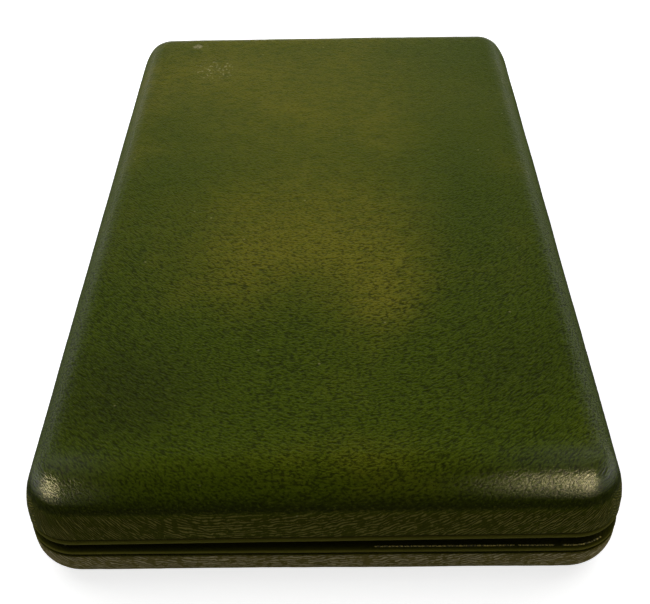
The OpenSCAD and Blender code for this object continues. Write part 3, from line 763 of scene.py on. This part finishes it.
def baseCover(detail):
    columns = planColumns(detail)
    count = len(columns)
    under = case["bottomRadius"] + case["turnUnder"]
    skin = case["leather"]
    outside = turnedEdge(case["baseRim"], baseHeight)
    # down the side, round the bottom edge and in under the base: (inset, height)
    outside += [(0.0, case["bottomRadius"] + 1.2)]
    outside += baseEdge(0.0, 18)
    flat = len(outside)
    outside += [(inset, 0.0) for inset in np.linspace(case["bottomRadius"], under, 7)[1:]]
    inside = [(under, skin)] + baseEdge(skin, 8)[::-1]
    inside += [(inset, baseHeight - case["turned"]) for inset in (skin, case["baseRim"])]
    section = outside + inside
    rings = coverLoops(columns, section, [*range(9), len(section) - 1], case["baseRim"])
    points = np.vstack(rings)
    faces = joinRings(count, len(rings), True)
    outer = slice(flat * count)
    points[outer] = roughen(points[outer], outwardNormals(points, faces)[outer], "base", 9.1)
    points[outer, 2] = np.maximum(points[outer, 2], 0.0)
    return points, faces


# Patina of the lid: (x, y, reach across, reach along, strength), in mm from the case's middle
lidPatina = [
    (4, -104, 18, 12, 0.15), (-30, -60, 16, 24, 0.3), (21, -64, 16, 19, 0.65),
    (-4, -36, 40, 16, 0.35), (-4, -22, 50, 40, 0.65), (-4, 80, 75, 70, 0.6),
    (-55, 105, 30, 30, 0.4), (-20, 134, 75, 9, 0.3), (72, -20, 12, 80, 0.15),
    (80, -122, 12, 20, 0.3), (-78, 60, 10, 70, 0.2), (-62, -108, 30, 30, -0.6),
    (66, -100, 30, 28, -0.4), (60, -20, 18, 40, -0.2), (-10, -132, 70, 9, 0.25),
]
basePatina = [(84, -138, 26, 22, 0.9), (-84, -138, 20, 20, 0.7), (0, -145, 90, 8, 0.6)]

relief = (2.2, 0.15)  # mm, round each hinge's knuckles and past their ends
clear = 0.05  # mm, round what is let into the leather
hingeY = [(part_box(node)[0].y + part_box(node)[1].y) / 2 / mm
          for node in ("near_hinge_base_leaf", "far_hinge_base_leaf")]
hingeHalf = (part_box("near_hinge_base_leaf")[1].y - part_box("near_hinge_base_leaf")[0].y) / 2 / mm
reliefCuts = [((hingeAt.x, y, hingeAt.z), relief[0], hingeHalf + relief[1], "Y") for y in hingeY]


def grown(node, amount=0):
    # a node's box in millimetres in the shut case, grown on all sides
    points = coordinates(frame["nodes"][node].data) / mm
    if node in lidNodes:
        back = np.array(toAjar.inverted())
        points = points @ back[:3, :3].T + back[:3, 3]
    return points.min(axis=0) - amount, points.max(axis=0) + amount


plateLow, plateHigh = grown("catch_rim_plate", clear)
plateHigh[2] += 1
collarLow, collarHigh = grown("button_collar", clear)
collarAt = (collarLow + collarHigh) / 2
baseCuts = reliefCuts + [
    (plateLow, plateHigh),
    ((width / 2, 0, collarAt[2]), (collarHigh[2] - collarLow[2]) / 2, 2.0, "X")]
hookLow, hookHigh = grown("lid_hook", clear)
lidCuts = reliefCuts + [((hookLow[0], hookLow[1], baseHeight + rimGap - 1),
                         (hookHigh[0], hookHigh[1], hookHigh[2]))]

cardEdge = grown("lid_lining_near", clear)[0][2]
for body, (points, faces), material, cuts, patina in (
        ("base", baseCover(coverDetail), baseGoatskin, baseCuts, basePatina),
        ("lid", lidCover(coverDetail, cardEdge), lidGoatskin, lidCuts, lidPatina)):
    cover = makePiece(f"{body}_cover", points, faces, body, "green_leather", (f"{body}_leather",),
                      material=material)
    cutAway(cover, cuts)
    paintCover(cover, body, patina)
    cover.data.set_sharp_from_angle(angle=math.radians(sharpAngle))
    if turnOf[body]:
        cover.data.transform(inMetres(turnOf[body]))
    print(body, "cover:", len(cover.data.polygons), "faces")


# Gold lines, tooled on the rims and mostly worn away

goldLines = {
    "baseInsets": (1.05, 4.3),  # mm from the outer face
    "lidInsets": (1.8, 3.4),
    "width": 0.5,
    "height": 0.06,
    "run": (8, 40),  # shortest and longest run, in sections of the cover
    "gap": (1, 3),
    "nearDepth": 8,  # mm of the near side
    "nearTurn": 20,  # mm from the middle, where its lines start to show
    "nearLeft": 1.0,  # share worn away before that
    "nearRight": 0.0,  # and past it
    "elsewhere": 0.35,
    "rimReach": 12,  # mm in from a long side, where a leaf or plate may cover the rim
    "leafReach": 24,  # mm kept free past each leaf
    "plateSpan": {"base": (1, -42, 42, 3.0), "lid": (1, -38, 38, 3.0)},
    "seed": 11,
}


def goldPiece(body, skipped):
    # skipped: (side's sign in x, lowest y, highest y, smallest inset) of what covers the rim
    name = f"{body}_gold_lines"
    rim, upwards = rims[body]
    columns = planColumns(coverDetail)
    chance = random.Random(goldLines["seed"] + len(name))
    wide, tall = goldLines["width"], -goldLines["height"] * upwards
    points, faces = [], []
    for inset in goldLines[f"{body}Insets"]:
        section = [(inset - wide / 2, rim - tall), (inset - wide / 4, rim + tall),
                   (inset + wide / 4, rim + tall), (inset + wide / 2, rim - tall)]
        square = fade(inset, case["squareFrom"], case["baseRim"])
        rings = [ringAt(columns, i, z, square) for i, z in section]
        start, total = 0, len(columns)
        while start < total - 3:
            stop = min(total - 1, start + chance.randint(*goldLines["run"]))
            x, y = rings[1][(start + stop) // 2, :2]
            where = "elsewhere"
            if y < goldLines["nearDepth"] - length / 2:
                where = "nearLeft" if x < goldLines["nearTurn"] else "nearRight"
            reach = width / 2 - goldLines["rimReach"]
            ends = rings[1][[start, stop], 1]
            covered = any(sx * x > reach and inset >= least and ((low < ends) & (ends < high)).any()
                          for sx, low, high, least in skipped)
            if chance.random() >= goldLines[where] and not covered:
                first = len(points)
                count = stop - start + 1
                for k in range(start, stop + 1):
                    points += [ring[k] for ring in rings]
                faces += tubeFaces(first, 4, count)
            start = stop + chance.randint(*goldLines["gap"])
    makePiece(name, points, faces, body, "gilt_brass", (), turnOf[body], goldLeafMaterial)


leafReach = hingeHalf + goldLines["leafReach"]
leaves = [(-1, y - leafReach, y + leafReach, 0.0) for y in hingeY]
for body in ("base", "lid"):
    goldPiece(body, leaves + [goldLines["plateSpan"][body]])
print("gold lines laid")


# Lining cards, covered in cloth that is drawn over their edge

card = {
    "step": 2.6,  # mm between sections
    "corner": 0.25,
    "endShare": 0.86,  # of the section, at the card's ends
    "puff": 0.16,  # mm, unevenness of the cloth and its glue
}


def coveredCard(name, node, body, slotName):
    low, high = grown(node)
    size = high - low
    thin = 0 if size[0] < size[1] else 1
    along = 1 - thin
    thick, tall, run = size[thin], size[2], size[along]
    radius, corner = thick / 2, card["corner"]
    side = list(np.linspace(corner, tall - radius, 8))
    section = [(0.0, h) for h in side]
    section += [(radius - radius * math.cos(a), tall - radius + radius * math.sin(a))
                for a in np.linspace(0, math.pi, 11)[1:-1]]
    section += [(thick, h) for h in side[::-1]] + [(thick - corner, 0.0), (corner, 0.0)]
    section = np.array(section)
    middle = np.array([thick / 2, tall / 2])
    places = [0.0, *np.linspace(corner, run - corner, round(run / card["step"])), run]
    points = []
    seed = sum(map(ord, name)) % 97
    for place in places:
        end = place in (0.0, run)
        for t, h in section:
            t, h = middle + (np.array([t, h]) - middle) * (card["endShare"] if end else 1.0)
            drawn = noise.noise(Vector((place / 6 + seed, h / 4, t / 2)))
            towards = -1 if t > thick / 2 else 1
            t += towards * card["puff"] * (0.5 + 0.5 * drawn) * (0 if end else 1)
            point = low.copy()
            point[thin] += t
            point[along] += place
            point[2] = low[2] + h if body == "base" else high[2] - h
            points.append(point)
    faces = tubeFaces(0, len(section), len(places))
    makePiece(name, points, faces, body, slotName, (node,), turnOf[body])


for where in ("near", "far", "hinge", "button"):
    for body, cloth in (("base", "velvet"), ("lid", "silk")):
        coveredCard(f"{body}_{cloth}_card_{where}", f"{body}_lining_{where}", body,
                    f"green_{cloth}")
print("lining cards covered")


# Pads of the floor and the lid: cloth drawn over wadding on a card, and a sheet of wadding

pad = {
    "cell": 4.5,  # mm, of the cloth's grid
    "pressure": 3.0,
    "slack": -0.015,  # the cloth is cut a little larger than the card
    "frames": 22,
    "edge": 2.2,  # mm, round edge
    "thin": 0.25,  # of the thickness, at the edge
    "blownFrom": 0.35,  # share of the crown before the cloth is blown up
    "sideways": 0.5,  # mm, the farthest that the cloth may creep
    "sharp": 60,
}


def padSpots(run):
    # places across a pad, closer near its edges
    edge = [0.0, 0.35, 0.95, 1.9, 3.2]
    middle = np.linspace(5.5, run - 5.5, max(2, round((run - 11) / pad["cell"])))
    return np.array(edge + list(middle) + [run - e for e in edge[::-1]])


def softPad(name, node, body, slotName, faceUp=False, crown=0.0):
    low, high = grown(node)
    size = high - low
    flat = size[2] - crown
    xs, ys = padSpots(size[0]), padSpots(size[1])
    rows, cols = len(ys), len(xs)
    x, y = np.meshgrid(xs, ys)
    near = np.minimum(np.minimum(x, size[0] - x), np.minimum(y, size[1] - y))
    edge = np.sqrt(1 - (1 - np.clip(near / pad["edge"], 0, 1)) ** 2)
    u, v = 2 * x / size[0] - 1, 2 * y / size[1] - 1
    swell = crown * (1 - u ** 2) * (1 - v ** 2)
    height = pad["thin"] * flat + (1 - pad["thin"]) * flat * edge
    simulated = crown > 0
    tall = height + (pad["blownFrom"] * swell if simulated else swell)
    base = low[2] if faceUp else high[2]
    sign = 1 if faceUp else -1
    front = np.stack([low[0] + x, low[1] + y, base + sign * tall], -1).reshape(-1, 3)
    back = np.stack([low[0] + x, low[1] + y, np.full_like(x, base)], -1).reshape(-1, 3)
    count = rows * cols
    index = np.arange(count).reshape(rows, cols)
    faces = []
    for a, b, c, d in gridFaces(index):
        faces += [(a, b, c, d), (count + a, count + d, count + c, count + b)]
    rim = np.hstack([index[0], index[1:, -1], index[-1, -2::-1], index[-2:0:-1, 0]]).tolist()
    faces += [(a, a + count, b + count, b) for a, b in zip(rim, rim[1:] + rim[:1])]
    points = np.vstack([front, back])
    mesh = bpy.data.meshes.new(name)
    mesh.from_pydata([tuple(q) for q in points * mm], [], faces)
    piece = addObject(name, mesh)
    mendMesh(mesh, False)
    if simulated:
        fixed = (near < 1.0).reshape(-1)
        group = piece.vertex_groups.new(name="held")
        group.add([int(i) for i in np.nonzero(fixed)[0]] + list(range(count, 2 * count)), 1.0,
                  "REPLACE")
        cloth = piece.modifiers.new("cloth", "CLOTH").settings
        cloth.vertex_group_mass = "held"
        cloth.use_pressure = True
        cloth.uniform_pressure_force = pad["pressure"]
        cloth.shrink_min = pad["slack"]
        cloth.effector_weights.gravity = 0
        cloth.quality = 6
        for number in range(1, pad["frames"] + 1):
            scene.frame_set(number)
        puffed = coordinates(piece.evaluated_get(bpy.context.evaluated_depsgraph_get()).to_mesh())
        piece.modifiers.clear()
        moved = puffed / mm
        rise = sign * (moved[:count, 2] - base)
        # no point goes past the crown, or far sideways
        top = (height + swell).reshape(-1)
        limit = top + 0.04 * crown * np.tanh((rise - top) / (0.3 * crown))
        rise = np.where(rise > top, limit, np.maximum(rise, 0.8 * top))
        sideways = np.clip(moved[:count, :2] - front[:, :2], -pad["sideways"], pad["sideways"])
        result = points.copy()
        result[:count, :2] = front[:, :2] + sideways * np.minimum(1, near.reshape(-1, 1) / 4)
        result[:count, 2] = base + sign * np.minimum(rise, size[2])
        mesh.vertices.foreach_set("co", (result * mm).reshape(-1))
        scene.frame_set(1)
    finer = piece.modifiers.new("finer", "SUBSURF")
    finer.levels = finer.render_levels = 1
    bpy.context.view_layer.update()
    smooth = bpy.data.meshes.new_from_object(
        piece.evaluated_get(bpy.context.evaluated_depsgraph_get()))
    piece.modifiers.clear()
    piece.data = smooth
    if turnOf[body]:
        smooth.transform(inMetres(turnOf[body]))
    finishPiece(piece, body, slotName, (node,), sharp=pad["sharp"])


softPad("floor_velvet_pad", "floor_pad", "base", "green_velvet", True, 0.7)
softPad("lid_silk_pad", "lid_pad", "lid", "green_silk", False, 2.4)

# the leather panel under the base, thinned at its edges, is made in the same way without a filling
softPad("base_under_panel", "base_underside", "base", "green_leather")

# wadding under the lid's leather: (inset, depth) from its top edge to its lower one
waddingSheet = {"edge": [(14.0, 1.25), (12.0, 1.45), (10.6, 2.0), (9.5, 2.65)], "step": 4.3,
                "cornerSteps": 8, "middle": 1.95, "tuft": 0.12}
columns = planColumns(waddingSheet)
rings = [ringAt(columns, inset, case["height"] - depth, 0.0)
         for inset, depth in waddingSheet["edge"]]
points, faces = np.vstack(rings), joinRings(len(columns), len(rings), False)
for ring in (0, len(rings) - 1):
    points = capLoop(points, faces, ring * len(columns), rings[ring], waddingSheet)
middle = case["height"] - waddingSheet["middle"]
for point in points:
    tuft = 0.5 + 0.5 * noise.noise(Vector(point / 5.0))
    point[2] += (middle - point[2]) * waddingSheet["tuft"] * tuft
wad = makePiece("lid_cotton_sheet", points, faces, "lid", "white_wadding", ("lid_wadding",), toAjar)
print("pads filled")


# Springs behind the catch's slide, which the button squeezes: round wire, coiled along x

coil = {"radius": 0.9, "turns": 4, "steps": 96, "sides": 8}  # mm


def makeSprings():
    low, high = grown("catch_springs")
    wire = (high[2] - low[2]) / 2 - coil["radius"]
    middle = (low[2] + high[2]) / 2
    points, faces = [], []
    for centre in (high[1] - coil["radius"] - wire, low[1] + coil["radius"] + wire):
        start = len(points)
        for step in range(coil["steps"] + 1):
            share = step / coil["steps"]
            angle = math.tau * coil["turns"] * share
            outwards = np.array((0, math.sin(angle), math.cos(angle)))
            onto = np.array((high[0] - wire - (high[0] - low[0] - 2 * wire) * share, centre,
                             middle))
            for side in range(coil["sides"]):
                turn = math.tau * side / coil["sides"]
                points.append(onto + outwards * (coil["radius"] + wire * math.cos(turn))
                              + np.array((wire * math.sin(turn), 0, 0)))
        faces += tubeFaces(start, coil["sides"], coil["steps"] + 1)
    springs = makePiece("catch_coil_springs", points, faces, "base", "pin_steel",
                        ("catch_springs",))
    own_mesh(springs)


makeSprings()
print("springs coiled")


# Camera, at the photograph's place

cameraPlace = {
    "at": (2.70, -333.20, 272.76),  # mm
    "down": 39.49,  # degrees below the horizon
    "right": 0.55,  # degrees towards the button
    "lens": 57.49,  # mm on a 36 mm sensor
    "shift": (-0.0231, -0.0231),
}
cameraData = bpy.data.cameras.new("camera")
cameraData.lens = cameraPlace["lens"]
cameraData.sensor_width = 36
cameraData.shift_x, cameraData.shift_y = cameraPlace["shift"]
cameraData.clip_start = 0.01
camera = addObject("camera", cameraData)
camera.location = Vector(cameraPlace["at"]) * mm
camera.rotation_euler = (math.radians(90 - cameraPlace["down"]), 0,
                         -math.radians(cameraPlace["right"]))
scene.camera = camera


# Floor, lamps and world

studio = {
    "floorHalf": 3.0,  # m
    "floor": "e6e6e6",
    "floorGlow": 0.78,  # takes the floor to white for the camera and in reflections
    # (place and size in m, power in W): two soft lamps behind the case, left and right
    "softLamps": [((-0.75, 0.5, 0.9), (1.3, 1.3), 7.2), ((0.75, 0.5, 0.9), (1.3, 1.3), 7.2)],
    # two low strips in front, which only shine on the polished corners
    "strips": [((-0.75, -0.58, 0.07), (0.6, 0.07), 6.5), ((0.46, -0.85, 0.20), (0.6, 0.07), 9.0)],
    "stripColour": "ffedb4",
    "behind": 0.64,  # brightness of the room low behind the case
    "overhead": 0.56,
    "dim": 0.048,  # of the rest of it
}

floorMesh = bpy.data.meshes.new("floor")
reach = studio["floorHalf"]
floorMesh.from_pydata([(-reach, -reach, 0), (reach, -reach, 0), (reach, reach, 0),
                       (-reach, reach, 0)], [], [(0, 1, 2, 3)])
floor = addObject("floor", floorMesh)
floorMaterial = bpy.data.materials.new("floorMatt")
add = emptyTree(floorMaterial)
rays = add("LightPath").outputs
seen = rays["Is Camera Ray"]
for ray in ("Is Glossy Ray", "Is Transmission Ray"):
    seen = add("Math", (seen, rays[ray]), 0, **plus)
glowing = add("Math", (seen, studio["floorGlow"]), 0, **times)
matt = add("BsdfDiffuse", (studio["floor"],), 0)
glow = add("Emission", {"Strength": glowing}, 0)
both = add("AddShader", (matt, glow), 0)
add("OutputMaterial", (both,))
floorMesh.materials.append(floorMaterial)

world = bpy.data.worlds.new("studio")
scene.world = world
add = emptyTree(world)
direction = add("SeparateXYZ", (add("TexCoord", (), "Generated"),)).outputs
toBack, low, high = (
    add("MapRange", (direction[axis], start, end), 0, **eased)
    for axis, start, end in (("Y", 0.45, 0.85), ("Z", 0.48, 0.2), ("Z", 0.72, 0.97)))
lowBehind = add("Math", (toBack, low), 0, **times)
cameraRay = add("LightPath", (), "Is Camera Ray")
room = studio["dim"]
for share, brightness in ((lowBehind, studio["behind"]), (high, studio["overhead"]),
                          (cameraRay, 1.0)):
    room = add("Mix", {0: share, 2: room, 3: brightness}, 0)
background = add("Background", {"Color": "ffffff", "Strength": room}, 0)
add("OutputWorld", (background,))

for kind in ("softLamps", "strips"):
    for number, (place, size, power) in enumerate(studio[kind]):
        lampData = bpy.data.lights.new(f"{kind}{number}", "AREA")
        lampData.shape = "RECTANGLE"
        lampData.size, lampData.size_y = size
        lampData.energy = power
        lamp = addObject(f"{kind}{number}", lampData)
        lamp.location = place
        lamp.rotation_euler = (-Vector(place)).to_track_quat("-Z", "Y").to_euler()
        lamp.visible_diffuse = kind == "softLamps"
        if kind == "strips":
            lampData.color = linearColour(studio["stripColour"])[:3]
print("camera, floor and lamps set")
